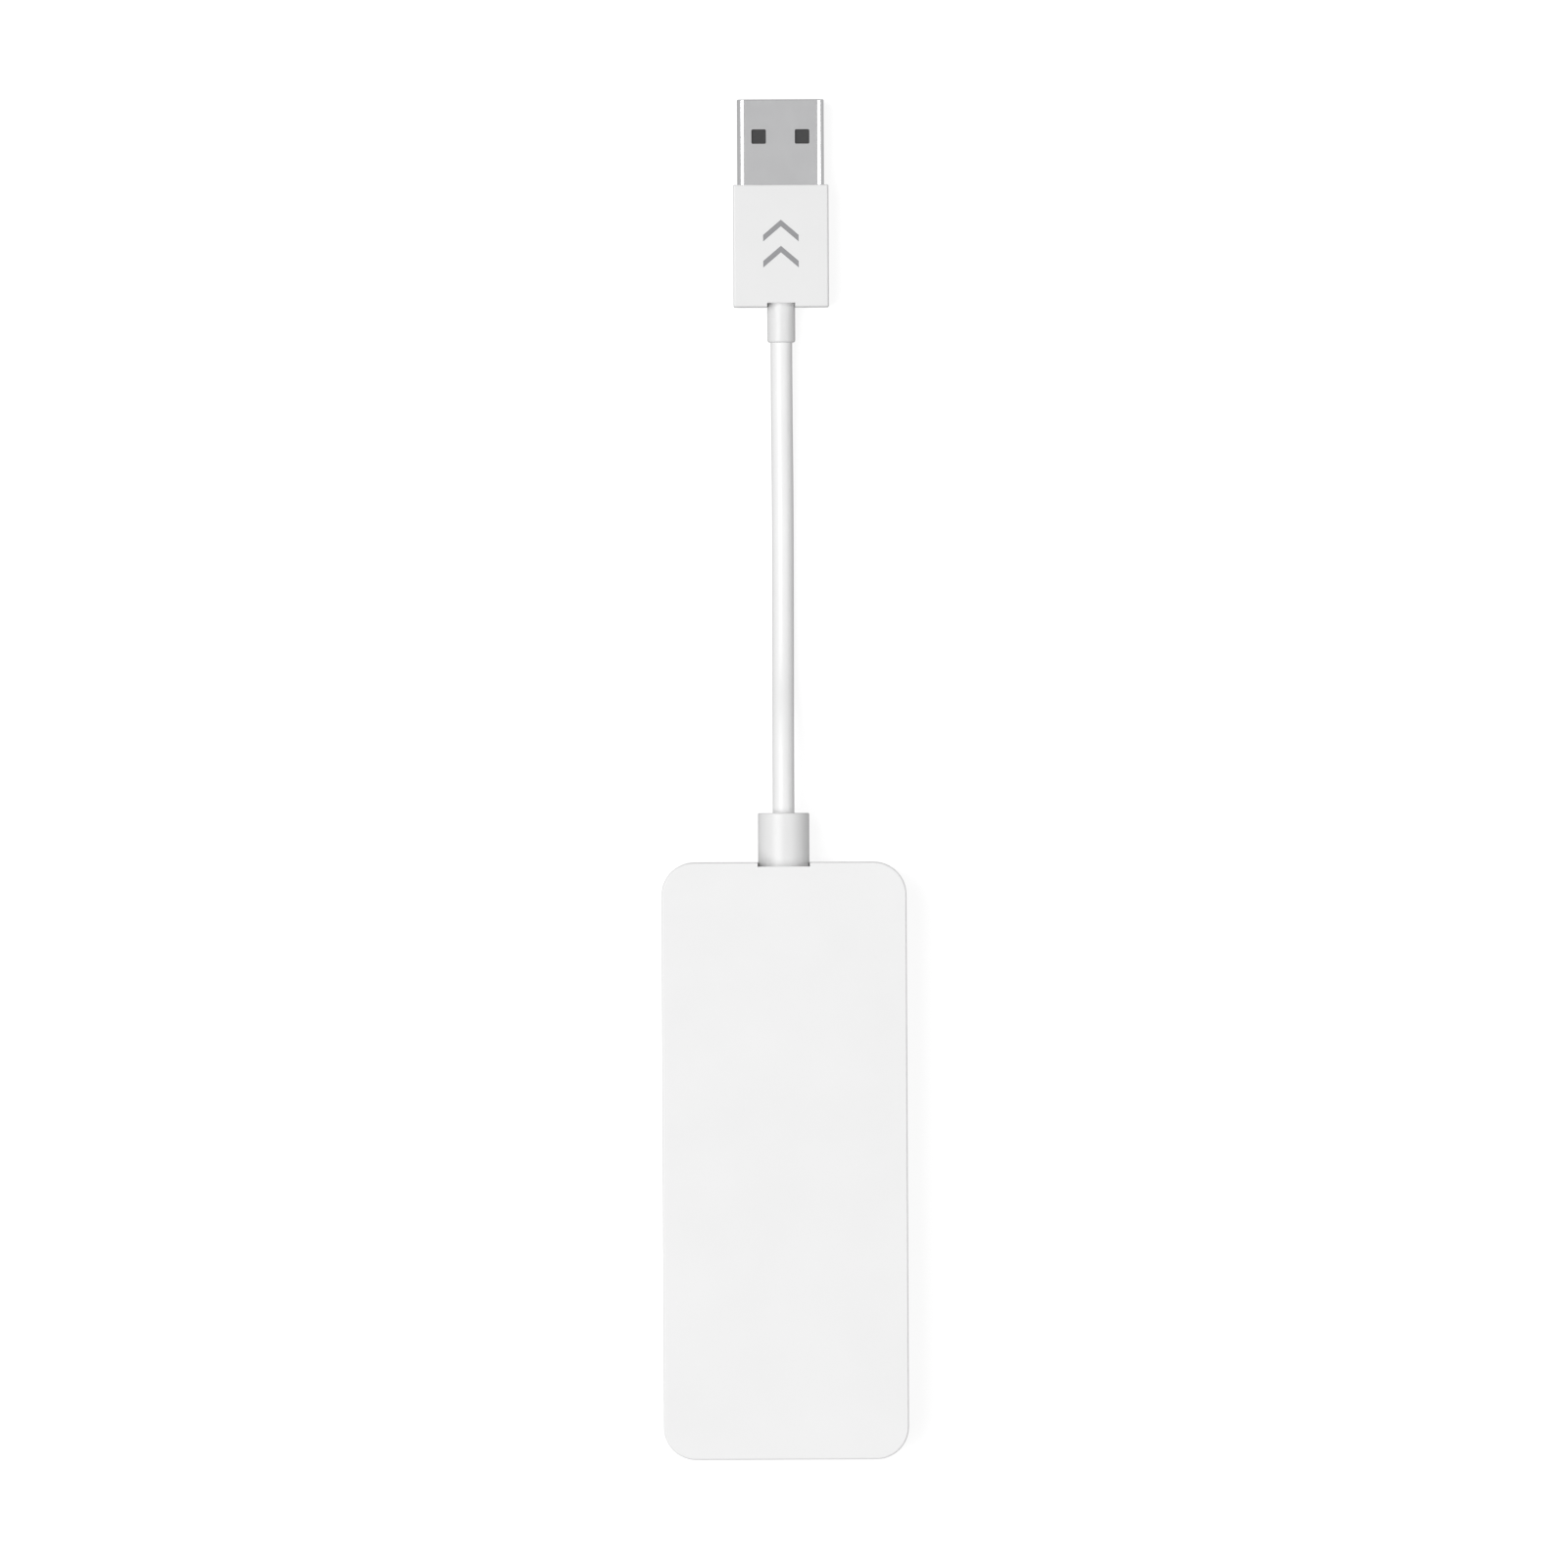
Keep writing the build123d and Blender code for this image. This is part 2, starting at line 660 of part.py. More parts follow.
contacts = []
for index, contact_x in enumerate(contact_xs):
    contact_tip = tongue_tip - contact_setbacks[index]
    with BuildPart() as plug_contact:
        with BuildSketch(Plane.XY.offset(contact_bottom)):
            with Locations((contact_x, (contact_start + contact_tip) / 2)):
                Rectangle(contact_width, contact_tip - contact_start)
        extrude(amount=contact_thickness)
        fillet(plug_contact.edges().filter_by(Axis.Z).group_by(Axis.Y)[-1], radius=contact_round)
    save(plug_contact, f"plug_contact_{index + 1}")
    contacts.append(plug_contact)

with BuildPart() as plug_tongue:
    with BuildSketch(cross_section(tongue_tip)):
        with Locations((0, tongue_bottom + tongue_thickness / 2)):
            Rectangle(tongue_width, tongue_thickness)
    extrude(amount=tongue_tip - mouth_back)
    chamfer(plug_tongue.edges().filter_by(Axis.Y).group_by(Axis.Z)[-1], length=tongue_edge)
    chamfer(plug_tongue.faces().sort_by(Axis.Y)[-1].edges(), length=tongue_nose)
    with BuildSketch(cross_section(mouth_back)):
        with Locations((0, plug_height)):
            root_width = inner_width - 2 * fit_gap
            RectangleRounded(root_width, inner_thickness - 2 * fit_gap, shell_corner - shell_wall)
    extrude(amount=mouth_back - shell_start)
    for plug_contact in contacts:
        add(plug_contact.part, mode=Mode.SUBTRACT)
save(plug_tongue, "plug_tongue")

# ------------------------------------------------------------------ conductors in the plug
plug_wires = []
for index, contact_x in enumerate(contact_xs):
    start_x = math.copysign(plug_wire_pitch / 2, contact_x)
    level = 1 if index in (0, len(contact_xs) - 1) else -1  # the outer pair leaves from the top
    start_z = plug_height + level * plug_wire_pitch / 2
    end_z = contact_bottom + contact_thickness / 2
    wire_points = [
        (start_x, tail_stop, start_z),
        (start_x, tail_stop + plug_wire_straight, start_z),
        (contact_x, contact_start - plug_wire_straight, end_z),
        (contact_x, contact_start, end_z),
    ]
    plug_wire = tube(wire_points, plug_wire_radius)
    save(plug_wire, f"plug_wire_{wire_colours[index]}")
    plug_wires.append(plug_wire)

# ------------------------------------------------------------------ plug: relief, inner mould, grip
with BuildPart() as plug_relief:
    with BuildSketch(cross_section(grip_start + grip_wall)):
        with Locations((0, plug_height)):
            Circle(relief_radius)
    extrude(amount=grip_start + grip_wall - relief_start)
    fillet(plug_relief.faces().sort_by(Axis.Y)[0].edges(), radius=relief_round)
    with BuildSketch(cross_section(mould_start)):
        with Locations((0, plug_height)):
            Circle(collar_radius)
    extrude(amount=collar_thickness)
    with BuildSketch(cross_section(mould_start)):
        with Locations((0, plug_height)):
            Circle(cord_radius)
    extrude(amount=mould_start - relief_start, mode=Mode.SUBTRACT)
save(plug_relief, "plug_relief")

with BuildPart() as plug_inner_mould:
    with BuildSketch(cross_section(shell_start)):
        with Locations((0, plug_height)):
            RectangleRounded(mould_width, mould_thickness, mould_corner)
    extrude(amount=shell_start - mould_start)
    add(cord_tail_plug.part, mode=Mode.SUBTRACT)
    for buried in plug_wires + contacts:
        add(buried.part, mode=Mode.SUBTRACT)
save(plug_inner_mould, "plug_inner_mould")


def chevron(tip_y):
    """A plain arrowhead let into the top of the grip; it points towards the plug's tip."""
    half = chevron_width / 2
    with BuildPart() as piece:
        with BuildSketch(Plane.XY.offset(grip_thickness - chevron_depth)):
            with BuildLine():
                Polyline(
                    (0, tip_y),
                    (half, tip_y - chevron_rise),
                    (half, tip_y - chevron_rise - chevron_stroke),
                    (0, tip_y - chevron_stroke),
                    (-half, tip_y - chevron_rise - chevron_stroke),
                    (-half, tip_y - chevron_rise),
                    close=True,
                )
            make_face()
        extrude(amount=chevron_depth + chevron_proud)
    return piece


# Two chevrons show which way the plug goes in.
marks = [chevron(mark_middle + chevron_pitch), chevron(mark_middle)]
for index, plug_mark in enumerate(marks):
    save(plug_mark, f"plug_mark_{index + 1}")

with BuildPart() as plug_grip:
    with BuildSketch(cross_section(grip_end)):
        with Locations((0, plug_height)):
            RectangleRounded(grip_width, grip_thickness, grip_round)
    extrude(amount=grip_length)
    fillet(plug_grip.faces().sort_by(Axis.Y)[0].edges(), radius=grip_rear_round)
    fillet(plug_grip.faces().sort_by(Axis.Y)[-1].edges(), radius=grip_front_round)
    # The mould's parting line is a hair groove round both sides.
    for side in (-1, 1):
        with BuildSketch(cross_section(grip_end)):
            with Locations((side * grip_width / 2, plug_height)):
                Rectangle(2 * parting_depth, parting_width)
        extrude(amount=grip_length, mode=Mode.SUBTRACT)
    with BuildSketch(cross_section(grip_end)):
        with Locations((0, plug_height)):
            RectangleRounded(shell_width, shell_thickness, shell_corner)
    extrude(amount=shell_buried, mode=Mode.SUBTRACT)
    with BuildSketch(cross_section(shell_start)):
        with Locations((0, plug_height)):
            RectangleRounded(mould_width, mould_thickness, mould_corner)
    extrude(amount=shell_start - mould_start, mode=Mode.SUBTRACT)
    with BuildSketch(cross_section(mould_start)):
        with Locations((0, plug_height)):
            Circle(collar_radius)
    extrude(amount=collar_thickness, mode=Mode.SUBTRACT)
    with BuildSketch(cross_section(grip_start + grip_wall)):
        with Locations((0, plug_height)):
            Circle(relief_radius)
    extrude(amount=grip_wall, mode=Mode.SUBTRACT)
    # The relief's seat is open upwards, so the relief shows a little way into the rim.
    with BuildSketch(cross_section(grip_start + relief_notch)):
        with Locations((0, (plug_height + grip_thickness) / 2)):
            Rectangle(2 * relief_radius, grip_thickness - plug_height)
    extrude(amount=relief_notch, mode=Mode.SUBTRACT)
    for plug_mark in marks:
        add(plug_mark.part, mode=Mode.SUBTRACT)
save(plug_grip, "plug_grip")
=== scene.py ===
import bpy
import json
import math
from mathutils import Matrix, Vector


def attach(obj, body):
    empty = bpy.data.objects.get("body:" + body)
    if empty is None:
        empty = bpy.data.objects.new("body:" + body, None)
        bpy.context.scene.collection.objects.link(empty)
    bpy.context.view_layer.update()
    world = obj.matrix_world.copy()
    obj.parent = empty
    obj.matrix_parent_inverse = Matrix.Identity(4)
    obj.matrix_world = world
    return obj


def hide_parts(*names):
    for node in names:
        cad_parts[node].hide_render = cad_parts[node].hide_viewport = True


# Bluetooth audio receiver: a white two-shell housing, a short white cord and a USB-A plug.
# Metres throughout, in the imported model's frame: +Y towards the plug's tip, +Z up, and the
# origin at the centre of the housing's underside.

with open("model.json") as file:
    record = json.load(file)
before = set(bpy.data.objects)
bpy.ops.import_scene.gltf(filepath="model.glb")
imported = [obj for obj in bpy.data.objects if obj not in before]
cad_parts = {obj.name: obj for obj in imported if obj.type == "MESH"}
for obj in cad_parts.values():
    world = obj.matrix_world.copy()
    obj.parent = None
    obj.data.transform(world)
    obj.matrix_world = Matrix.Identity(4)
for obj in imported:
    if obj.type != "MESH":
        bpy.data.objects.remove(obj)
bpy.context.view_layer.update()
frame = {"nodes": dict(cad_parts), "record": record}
nodes = frame["nodes"]

MM = 0.001

# ------------------------------------------------------------------ camera
VIEW_SIZE = 0.2166  # width and height of what the camera sees
VIEW_DISTANCE = 4.0  # far away, so the view is nearly parallel
VIEW_CENTRE = Vector((0.00008, 0.0520, 0.006))  # what the camera is straight above
VIEW_ROLL = math.radians(-0.27)
VIEW_NEAREST = 0.1
VIEW_FARTHEST = 20.0
SENSOR = 36.0  # the camera's own width, in millimetres


def make_camera():
    """Looks straight down, with the plug at the top of the picture."""
    data = bpy.data.cameras.new("camera")
    data.sensor_width = SENSOR
    data.lens = SENSOR * VIEW_DISTANCE / VIEW_SIZE
    data.clip_start = VIEW_NEAREST
    data.clip_end = VIEW_FARTHEST
    camera = bpy.data.objects.new("camera", data)
    camera.location = VIEW_CENTRE + Vector((0, 0, VIEW_DISTANCE))
    camera.rotation_euler = (0, 0, VIEW_ROLL)
    bpy.context.scene.collection.objects.link(camera)
    bpy.context.scene.camera = camera


# ------------------------------------------------------------------ cord
CORD_DIAMETER = 3.0 * MM
CORD_ROUNDNESS = 14  # how finely its section is divided
CORD_SMOOTHNESS = 24  # how finely each stretch of its line is divided
# The route of the CAD tube, in millimetres: level out of the boot, down to the surface, up to the plug.
CORD_ROUTE = [
    (0, 48.0, 6.0),
    (0, 57, 6.0),
    (0.05, 70, 1.55),
    (0.1, 92, 1.55),
    (0, 104, 3.1),
    (0, 113.0, 3.1),
]


def make_cord():
    """The free cord, one smooth curve from the boot to the plug's strain relief."""
    curve = bpy.data.curves.new("free_cord", "CURVE")
    curve.dimensions = "3D"
    curve.bevel_depth = 1.0  # each point's radius is then the cord's own, in metres
    curve.bevel_resolution = CORD_ROUNDNESS
    curve.resolution_u = CORD_SMOOTHNESS
    spline = curve.splines.new("NURBS")
    spline.points.add(len(CORD_ROUTE) - 1)
    for point, (x, y, z) in zip(spline.points, CORD_ROUTE):
        point.co = (x * MM, y * MM, z * MM, 1)
        point.radius = CORD_DIAMETER / 2
    spline.order_u = 3
    spline.use_endpoint_u = True
    cord = bpy.data.objects.new("free_cord", curve)
    bpy.context.scene.collection.objects.link(cord)
    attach(cord, "root")
    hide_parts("cord")
    return cord


make_camera()
free_cord = make_cord()

# ------------------------------------------------------------------ material building blocks
# The noise seldom leaves this range, so colours and roughnesses are spread over it.
NOISE_LOW = 0.3
NOISE_HIGH = 0.7
# Distance between the bands of Blender's wave texture at scale 1.
WAVE_PERIOD = math.pi / 10


def new_material(name, **sockets):
    """A Principled material; sockets gives constant inputs, with _ for the spaces in their names."""
    material = bpy.data.materials.new(name)
    material.use_nodes = True
    shader = material.node_tree.nodes["Principled BSDF"]
    for socket, value in sockets.items():
        shader.inputs[socket.replace("_", " ")].default_value = value
    return material, material.node_tree, shader


def place(tree, stretch=(1, 1, 1)):
    """Object coordinates in metres, stretched along the axes."""
    coordinates = tree.nodes.new("ShaderNodeTexCoord")
    mapping = tree.nodes.new("ShaderNodeMapping")
    mapping.inputs["Scale"].default_value = stretch
    tree.links.new(coordinates.outputs["Object"], mapping.inputs["Vector"])
    return mapping.outputs["Vector"]


def coordinate(tree, kind, axis):
    """One Object coordinate in metres, or one Generated one, from 0 to 1 across the piece."""
    coordinates = tree.nodes.new("ShaderNodeTexCoord")
    split = tree.nodes.new("ShaderNodeSeparateXYZ")
    tree.links.new(coordinates.outputs[kind], split.inputs["Vector"])
    return split.outputs[axis]


def noise(tree, where, size, detail=2.0, roughness=0.5):
    """Noise whose blotches are about size metres across, from 0 to 1."""
    texture = tree.nodes.new("ShaderNodeTexNoise")
    texture.inputs["Scale"].default_value = 1 / size
    texture.inputs["Detail"].default_value = detail
    texture.inputs["Roughness"].default_value = roughness
    tree.links.new(where, texture.inputs["Vector"])
    return texture.outputs["Fac"]


def cells(tree, where, size, metric):
    """A Voronoi texture, with cells about size metres across."""
    texture = tree.nodes.new("ShaderNodeTexVoronoi")
    texture.distance = metric
    texture.inputs["Scale"].default_value = 1 / size
    tree.links.new(where, texture.inputs["Vector"])
    return texture


def span(tree, value, low, high, start=NOISE_LOW, end=NOISE_HIGH):
    """Maps value from start..end to low..high."""
    remap = tree.nodes.new("ShaderNodeMapRange")
    remap.inputs["From Min"].default_value = start
    remap.inputs["From Max"].default_value = end
    remap.inputs["To Min"].default_value = low
    remap.inputs["To Max"].default_value = high
    tree.links.new(value, remap.inputs["Value"])
    return remap.outputs["Result"]


def vary(tree, value, middle, share):
    """Noise about a middle value, up to a share of it more or less."""
    return span(tree, value, middle * (1 - share), middle * (1 + share))


def tint(tree, value, dark, light, start=NOISE_LOW, end=NOISE_HIGH):
    """A colour between dark and light, by value."""
    ramp = tree.nodes.new("ShaderNodeValToRGB")
    ramp.color_ramp.elements[0].position = start
    ramp.color_ramp.elements[0].color = (*dark, 1)
    ramp.color_ramp.elements[1].position = end
    ramp.color_ramp.elements[1].color = (*light, 1)
    tree.links.new(value, ramp.inputs["Fac"])
    return ramp.outputs["Color"]


def mix(tree, factor, low, high):
    """The low value where the factor is 0, and the high one where it is 1."""
    node = tree.nodes.new("ShaderNodeMix")
    for socket, value in (("Factor", factor), ("A", low), ("B", high)):
        tree.links.new(value, node.inputs[socket])
    return node.outputs["Result"]


def calculate(tree, operation, *operands):
    """The result of one Math node, whose operands are sockets or numbers."""
    node = tree.nodes.new("ShaderNodeMath")
    node.operation = operation
    for socket, operand in zip(node.inputs, operands):
        if isinstance(operand, float):
            socket.default_value = operand
        else:
            tree.links.new(operand, socket)
    return node.outputs["Value"]


def relief(tree, shader, layers):
    """Stacks bump layers, each a (height, depth in metres) pair, into the shader's normal."""
    normal = None
    for height, depth in layers:
        bump = tree.nodes.new("ShaderNodeBump")
        bump.inputs["Distance"].default_value = depth
        bump.inputs["Strength"].default_value = 1.0
        tree.links.new(height, bump.inputs["Height"])
        if normal:
            tree.links.new(normal, bump.inputs["Normal"])
        normal = bump.outputs["Normal"]
    tree.links.new(normal, shader.inputs["Normal"])


def dress(tree, shader, colour, roughness, layers):
    """Gives the shader its colour, its roughness and its bump layers."""
    tree.links.new(colour, shader.inputs["Base Color"])
    tree.links.new(roughness, shader.inputs["Roughness"])
    relief(tree, shader, layers)


def scaled(colour, factor):
    """A colour made darker or lighter by a factor."""
    return tuple(channel * factor for channel in colour)


def mottled(tree, value, colour, share):
    """A colour that noise darkens in places, by up to a share of it."""
    return tint(tree, value, scaled(colour, 1 - share), colour)


# ------------------------------------------------------------------ materials


def moulded(name, colour, roughness, grain=0.25 * MM, depth=0.004 * MM, mottle=0.02):
    """Moulded plastic: a fine spark-eroded grain, slow waves of sheen, and faint mottling."""
    wave_size = 40 * grain
    speck_size = 3 * grain
    material, tree, shader = new_material(name)
    where = place(tree)
    fine = noise(tree, where, grain, detail=3)
    broad = noise(tree, where, wave_size)
    speck = noise(tree, where, speck_size, detail=4, roughness=0.6)
    colours = mottled(tree, broad, colour, mottle)
    layers = [(broad, 2 * depth), (fine, depth)]
    dress(tree, shader, colours, vary(tree, speck, roughness, share=0.1), layers)
    return material


def extruded(name, colour, roughness):
    """Soft extruded PVC: faint lines drawn along the cord, a slight orange-peel, and mottling."""
    drawn_width = 0.35 * MM
    drawn_depth = 0.006 * MM
    peel_size = 0.5 * MM
    peel_depth = 0.008 * MM
    blotch_size = 9 * MM
    material, tree, shader = new_material(name)
    drawn = noise(tree, place(tree, stretch=(1, 0.03, 1)), drawn_width)
    peel = noise(tree, place(tree), peel_size, detail=3)
    broad = noise(tree, place(tree), blotch_size)
    colours = mottled(tree, broad, colour, share=0.025)
    layers = [(drawn, drawn_depth), (peel, peel_depth)]
    dress(tree, shader, colours, vary(tree, peel, roughness, share=0.15), layers)
    return material


def plated(name, colour, roughness, stretch=(1, 0.04, 1), stroke=0.06 * MM, depth=0.0002 * MM):
    """Plated sheet metal: rolling lines in one direction, and cloudy dull patches."""
    cloud_size = 3 * MM
    material, tree, shader = new_material(name, Metallic=1.0)
    lines = noise(tree, place(tree, stretch), stroke, detail=3, roughness=0.6)
    cloud = noise(tree, place(tree), cloud_size, detail=3)
    colours = mottled(tree, cloud, colour, share=0.04)
    dress(tree, shader, colours, vary(tree, lines, roughness, share=0.2), [(lines, depth)])
    return material


def printed(name, colour):
    """A flat printed inlay, slightly uneven in tone."""
    patch_size = 0.3 * MM
    depth = 0.004 * MM
    material, tree, shader = new_material(name, Specular_IOR_Level=0.3)
    uneven = noise(tree, place(tree), patch_size, detail=3)
    colours = mottled(tree, uneven, colour, share=0.07)
    dress(tree, shader, colours, span(tree, uneven, low=0.5, high=0.6), [(uneven, depth)])
    return material


def clear(name, colour):
    """Frosted clear acrylic."""
    frost_size = 0.15 * MM
    depth = 0.01 * MM
    material, tree, shader = new_material(name, Transmission_Weight=0.8, IOR=1.49)
    frost = noise(tree, place(tree), frost_size, detail=3)
    colours = mottled(tree, frost, colour, share=0.05)
    dress(tree, shader, colours, span(tree, frost, low=0.3, high=0.5), [(frost, depth)])
    return material


def tracks(tree, where, axis):
    """Copper tracks side by side along an axis: 1 on a track, 0 between them."""
    pitch = 0.9 * MM
    wave = tree.nodes.new("ShaderNodeTexWave")
    wave.bands_direction = axis
    wave.inputs["Scale"].default_value = WAVE_PERIOD / pitch
    tree.links.new(where, wave.inputs["Vector"])
    return span(tree, wave.outputs["Fac"], 0, 1, start=0.84, end=0.88)


def laminate(name, colour):
    """Glass-epoxy board under solder mask: paler tracks that change direction by patch, and vias."""
    patch_size = 7 * MM
    via_spacing = 3 * MM
    weave_size = 0.4 * MM
    weave_depth = 0.006 * MM
    copper_depth = 0.03 * MM
    material, tree, shader = new_material(name)
    where = place(tree)
    patch = cells(tree, where, patch_size, "CHEBYCHEV").outputs["Color"]
    turned = span(tree, patch, 0, 1, start=0.49, end=0.50)
    lines = mix(tree, turned, tracks(tree, where, "X"), tracks(tree, where, "Y"))
    from_via = cells(tree, where, via_spacing, "EUCLIDEAN").outputs["Distance"]
    vias = span(tree, from_via, 1, 0, start=0.09, end=0.11)
    copper = calculate(tree, "MAXIMUM", lines, vias)
    weave = noise(tree, where, weave_size)
    colours = tint(tree, copper, colour, scaled(colour, 2), start=0, end=1)
    layers = [(copper, copper_depth), (weave, weave_depth)]
    dress(tree, shader, colours, span(tree, weave, low=0.25, high=0.4), layers)
    return material


# Two heights above the housing's underside.
CAN_FOOT = 4.3 * MM  # where the capacitors' cans stand on their bases
LEAD_TOP = 3.7 * MM  # the top of the chips' leads


def step_at(tree, level, under, over):
    """One value up to a level in metres, and another above it."""
    margin = 0.01 * MM
    height = coordinate(tree, "Object", "Z")
    return span(tree, height, under, over, start=level + margin, end=level + 2 * margin)


def on_can(tree):
    """1 on a capacitor's can, 0 on the plastic base under it."""
    return step_at(tree, CAN_FOOT, under=0, over=1)


def on_leads(tree):
    """1 on a chip's leads and on the pads at its foot, 0 on its body."""
    return step_at(tree, LEAD_TOP, under=1, over=0)


def at_ends(tree):
    """1 on the last fifth of a piece at each end of its length, 0 between."""
    along = coordinate(tree, "Generated", "Y")
    from_middle = calculate(tree, "ABSOLUTE", calculate(tree, "SUBTRACT", along, 0.5))
    return span(tree, from_middle, 0, 1, start=0.29, end=0.31)


def part_metal(name, body, metal, is_metal, rough_body, rough_metal):
    """A plain body with bare metal where is_metal, a function of the node tree, gives 1."""
    grain = 0.1 * MM
    depth = 0.0005 * MM
    material, tree, shader = new_material(name)
    bare = is_metal(tree)
    fine = noise(tree, place(tree), grain, detail=3)
    colours = tint(tree, bare, body, metal, start=0, end=1)
    roughness = span(tree, bare, rough_body, rough_metal, start=0, end=1)
    dress(tree, shader, colours, roughness, [(fine, depth)])
    tree.links.new(bare, shader.inputs["Metallic"])
    return material


BLACK = (0.018, 0.018, 0.019)
TIN = (0.68, 0.69, 0.70)
FINE_GRAIN = 0.1 * MM
# Each slot's material: its colours come first, then its roughness.
make_slot = {
    "case_abs": lambda slot: moulded(slot, (0.815, 0.815, 0.815), 0.38),
    "cord_pvc": lambda slot: extruded(slot, (0.86, 0.86, 0.86), 0.34),
    # The grip's white is greyer than the cord's: partly its own tone, partly painted shade standing in
    # for the shade on the boot
    "grip_pvc": lambda slot: moulded(slot, (0.77, 0.77, 0.77), 0.36),
    "mark_ink": lambda slot: printed(slot, (0.30, 0.30, 0.31)),
    "plug_steel": lambda slot: plated(slot, (0.74, 0.74, 0.75), 0.13),
    "tongue_plastic": lambda slot: moulded(slot, BLACK, 0.5, FINE_GRAIN, mottle=0.1),
    "gold_contact": lambda slot: plated(slot, (0.83, 0.60, 0.27), 0.25),
    "inner_mould": lambda slot: moulded(slot, (0.70, 0.68, 0.62), 0.45, mottle=0.06),
    "board_laminate": lambda slot: laminate(slot, (0.015, 0.13, 0.05)),
    "chip_black": lambda slot: part_metal(slot, BLACK, TIN, on_leads, 0.55, 0.3),
    "tin_can": lambda slot: plated(slot, (0.66, 0.66, 0.64), 0.2),
    "capacitor_can": lambda slot: part_metal(slot, BLACK, (0.75, 0.75, 0.76), on_can, 0.5, 0.22),
    "ferrite": lambda slot: moulded(slot, (0.06, 0.06, 0.065), 0.6, FINE_GRAIN, 0.01 * MM, 0.2),
    "ceramic_tan": lambda slot: part_metal(slot, (0.42, 0.30, 0.18), TIN, at_ends, 0.4, 0.3),
    "ceramic_white": lambda slot: moulded(slot, (0.8, 0.8, 0.77), 0.35, FINE_GRAIN, mottle=0.05),
    "solder": lambda slot: plated(slot, TIN, 0.2, (1, 1, 1), 0.4 * MM, 0.01 * MM),
    "jack_black": lambda slot: moulded(slot, BLACK, 0.42, 0.12 * MM, mottle=0.15),
    "nickel_contact": lambda slot: plated(slot, (0.70, 0.69, 0.66), 0.25),
    "clear_pipe": lambda slot: clear(slot, (0.92, 0.94, 0.95)),
    "led_body": lambda slot: moulded(slot, (0.85, 0.80, 0.50), 0.4, FINE_GRAIN, mottle=0.1),
    "wire_red": lambda slot: extruded(slot, (0.60, 0.02, 0.02), 0.35),
    "wire_white": lambda slot: extruded(slot, (0.80, 0.80, 0.80), 0.35),
    "wire_green": lambda slot: extruded(slot, (0.02, 0.30, 0.06), 0.35),
    "wire_black": lambda slot: extruded(slot, BLACK, 0.35),
}
materials = {slot: make(slot) for slot, make in make_slot.items()}
node_slots = {part["node"]: part["material_slot"] for part in frame["record"]["subparts"]}


def finish_with(piece, slot):
    """Gives a piece the one material of its slot."""
    piece.data.materials.clear()
    piece.data.materials.append(materials[slot])


for node, piece in nodes.items():
    finish_with(piece, node_slots[node])
finish_with(free_cord, "cord_pvc")

# ------------------------------------------------------------------ floor, light and sky
ROOM = 6.0  # radius of the pale wall, and half the floor's side
WALL_SIDES = 48
WALL_HEIGHT = 5.0
FLOOR_LEVEL = -0.03 * MM  # just under the object
FLOOR_GLOW = 0.77
FLOOR_ALBEDO = 0.37
FLOOR_GRAIN = 0.5 * MM
LIGHT_DISTANCE = 3.0
# Each light leans from overhead by an angle in degrees, towards -X where that is negative.
LIGHTS = {
    "key": {"lean": -27, "width": 2.0, "length": 2.4, "radiance": 4.35},
    "strip": {"lean": 34, "width": 2.4, "length": 0.5, "radiance": 3.0},
}
# The sky's greys, each after its height, from 0 straight down to 1 overhead.
SKY = (
    (0.0, 0.60),  # what the sides see in place of the floor
    (0.25, 0.44),
    (0.499, 0.32),
    (0.501, 0.36),
    (0.63, 0.40),
    (0.78, 0.40),
    (0.87, 0.22),
    (0.98, 0.64),
    (1.0, 0.64),
)
# The same for reflections, which see a paler horizon.
REFLECTED_SKY = (
    (0.0, 0.50),
    (0.38, 0.62),
    (0.80, 0.62),
    (0.87, 0.24),
    (0.98, 0.64),
    (1.0, 0.64),
)


def add_stage(name, corners, faces, material):
    """A plain surface that isn't part of the object, and that only the camera sees."""
    mesh = bpy.data.meshes.new(name)
    mesh.from_pydata(corners, [], faces)
    mesh.materials.append(material)
    surface = bpy.data.objects.new(name, mesh)
    bpy.context.scene.collection.objects.link(surface)
    surface.visible_diffuse = False
    surface.visible_glossy = False
    surface.visible_shadow = False


def glowing(name, glow, **sockets):
    """A matt material that gives off white light."""
    return new_material(
        name,
        Emission_Strength=glow,
        Emission_Color=(1, 1, 1, 1),
        Specular_IOR_Level=0.0,
        **sockets,
    )


def make_floor():
    """A plain white floor just under the object."""
    material, tree, shader = glowing("floor_white", FLOOR_GLOW, Roughness=1.0)
    grain = noise(tree, place(tree), FLOOR_GRAIN)
    white = (FLOOR_ALBEDO, FLOOR_ALBEDO, FLOOR_ALBEDO)
    tree.links.new(mottled(tree, grain, white, share=0.01), shader.inputs["Base Color"])
    plan = ((-ROOM, -ROOM), (ROOM, -ROOM), (ROOM, ROOM), (-ROOM, ROOM))
    add_stage("floor", [(x, y, FLOOR_LEVEL) for x, y in plan], [(0, 1, 2, 3)], material)


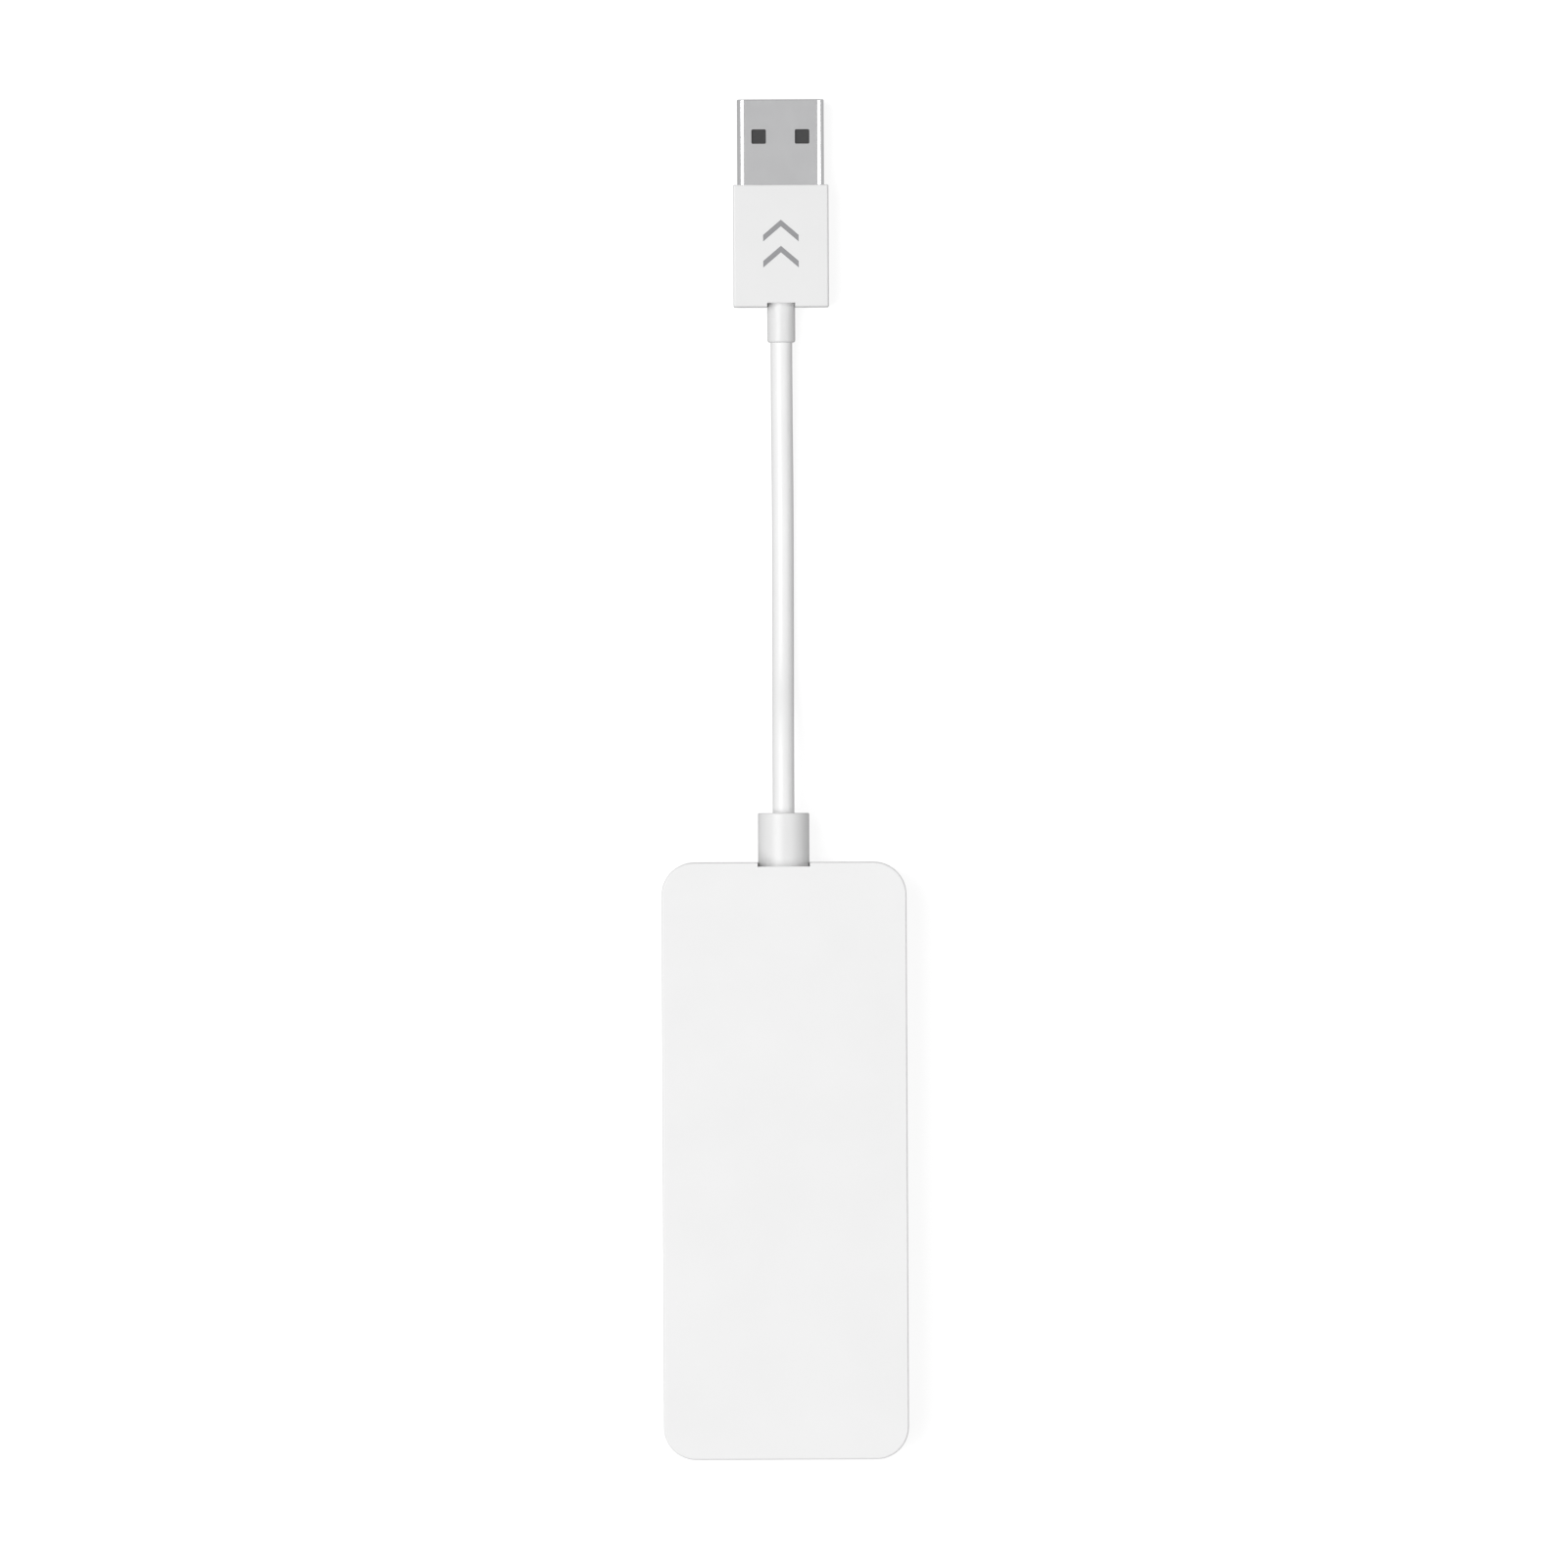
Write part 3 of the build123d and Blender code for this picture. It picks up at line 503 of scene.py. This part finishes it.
def make_backdrop():
    """A white wall far round the object."""
    material = glowing("wall_white", 1.0, Base_Color=(0, 0, 0, 1))[0]
    turns = [math.tau * side / WALL_SIDES for side in range(WALL_SIDES)]
    ring = [(ROOM * math.cos(turn), ROOM * math.sin(turn)) for turn in turns]
    corners = [(x, y, z) for z in (FLOOR_LEVEL, WALL_HEIGHT) for x, y in ring]
    faces = []
    for side in range(WALL_SIDES):
        after = (side + 1) % WALL_SIDES
        faces.append((side, after, WALL_SIDES + after, WALL_SIDES + side))
    add_stage("backdrop", corners, faces, material)


def make_light(name, lean, width, length, radiance):
    """A soft rectangular light beside the camera, turned towards the object."""
    data = bpy.data.lights.new(name, "AREA")
    data.shape = "RECTANGLE"
    data.size = width
    data.size_y = length
    data.energy = radiance * width * length * math.pi
    light = bpy.data.objects.new(name, data)
    turn = math.radians(lean)
    light.location = VIEW_CENTRE + Vector((math.sin(turn), 0, math.cos(turn))) * LIGHT_DISTANCE
    light.rotation_euler = (0, turn, 0)
    bpy.context.scene.collection.objects.link(light)


def grey_by_height(tree, height, greys):
    """Greys that blend into each other from each height to the next."""
    ramp = tree.nodes.new("ShaderNodeValToRGB")
    stops = ramp.color_ramp.elements
    for position, _ in greys[1:-1]:
        stops.new(position)
    for stop, (_, grey) in zip(stops, greys):
        stop.color = (grey, grey, grey, 1)
    tree.links.new(height, ramp.inputs["Fac"])
    return ramp.outputs["Color"]


def make_sky():
    """A grey surround, palest overhead, with a paler horizon for reflections."""
    world = bpy.data.worlds.new("studio")
    bpy.context.scene.world = world
    world.use_nodes = True
    tree = world.node_tree
    height = span(tree, coordinate(tree, "Generated", "Z"), 0, 1, start=-1, end=1)
    ray = tree.nodes.new("ShaderNodeLightPath")
    plain = grey_by_height(tree, height, SKY)
    reflected = grey_by_height(tree, height, REFLECTED_SKY)
    grey = mix(tree, ray.outputs["Is Glossy Ray"], plain, reflected)
    tree.links.new(grey, tree.nodes["Background"].inputs["Color"])


make_floor()
make_backdrop()
for light_name, settings in LIGHTS.items():
    make_light(light_name, **settings)
make_sky()
bpy.context.scene.view_settings.view_transform = "Standard"
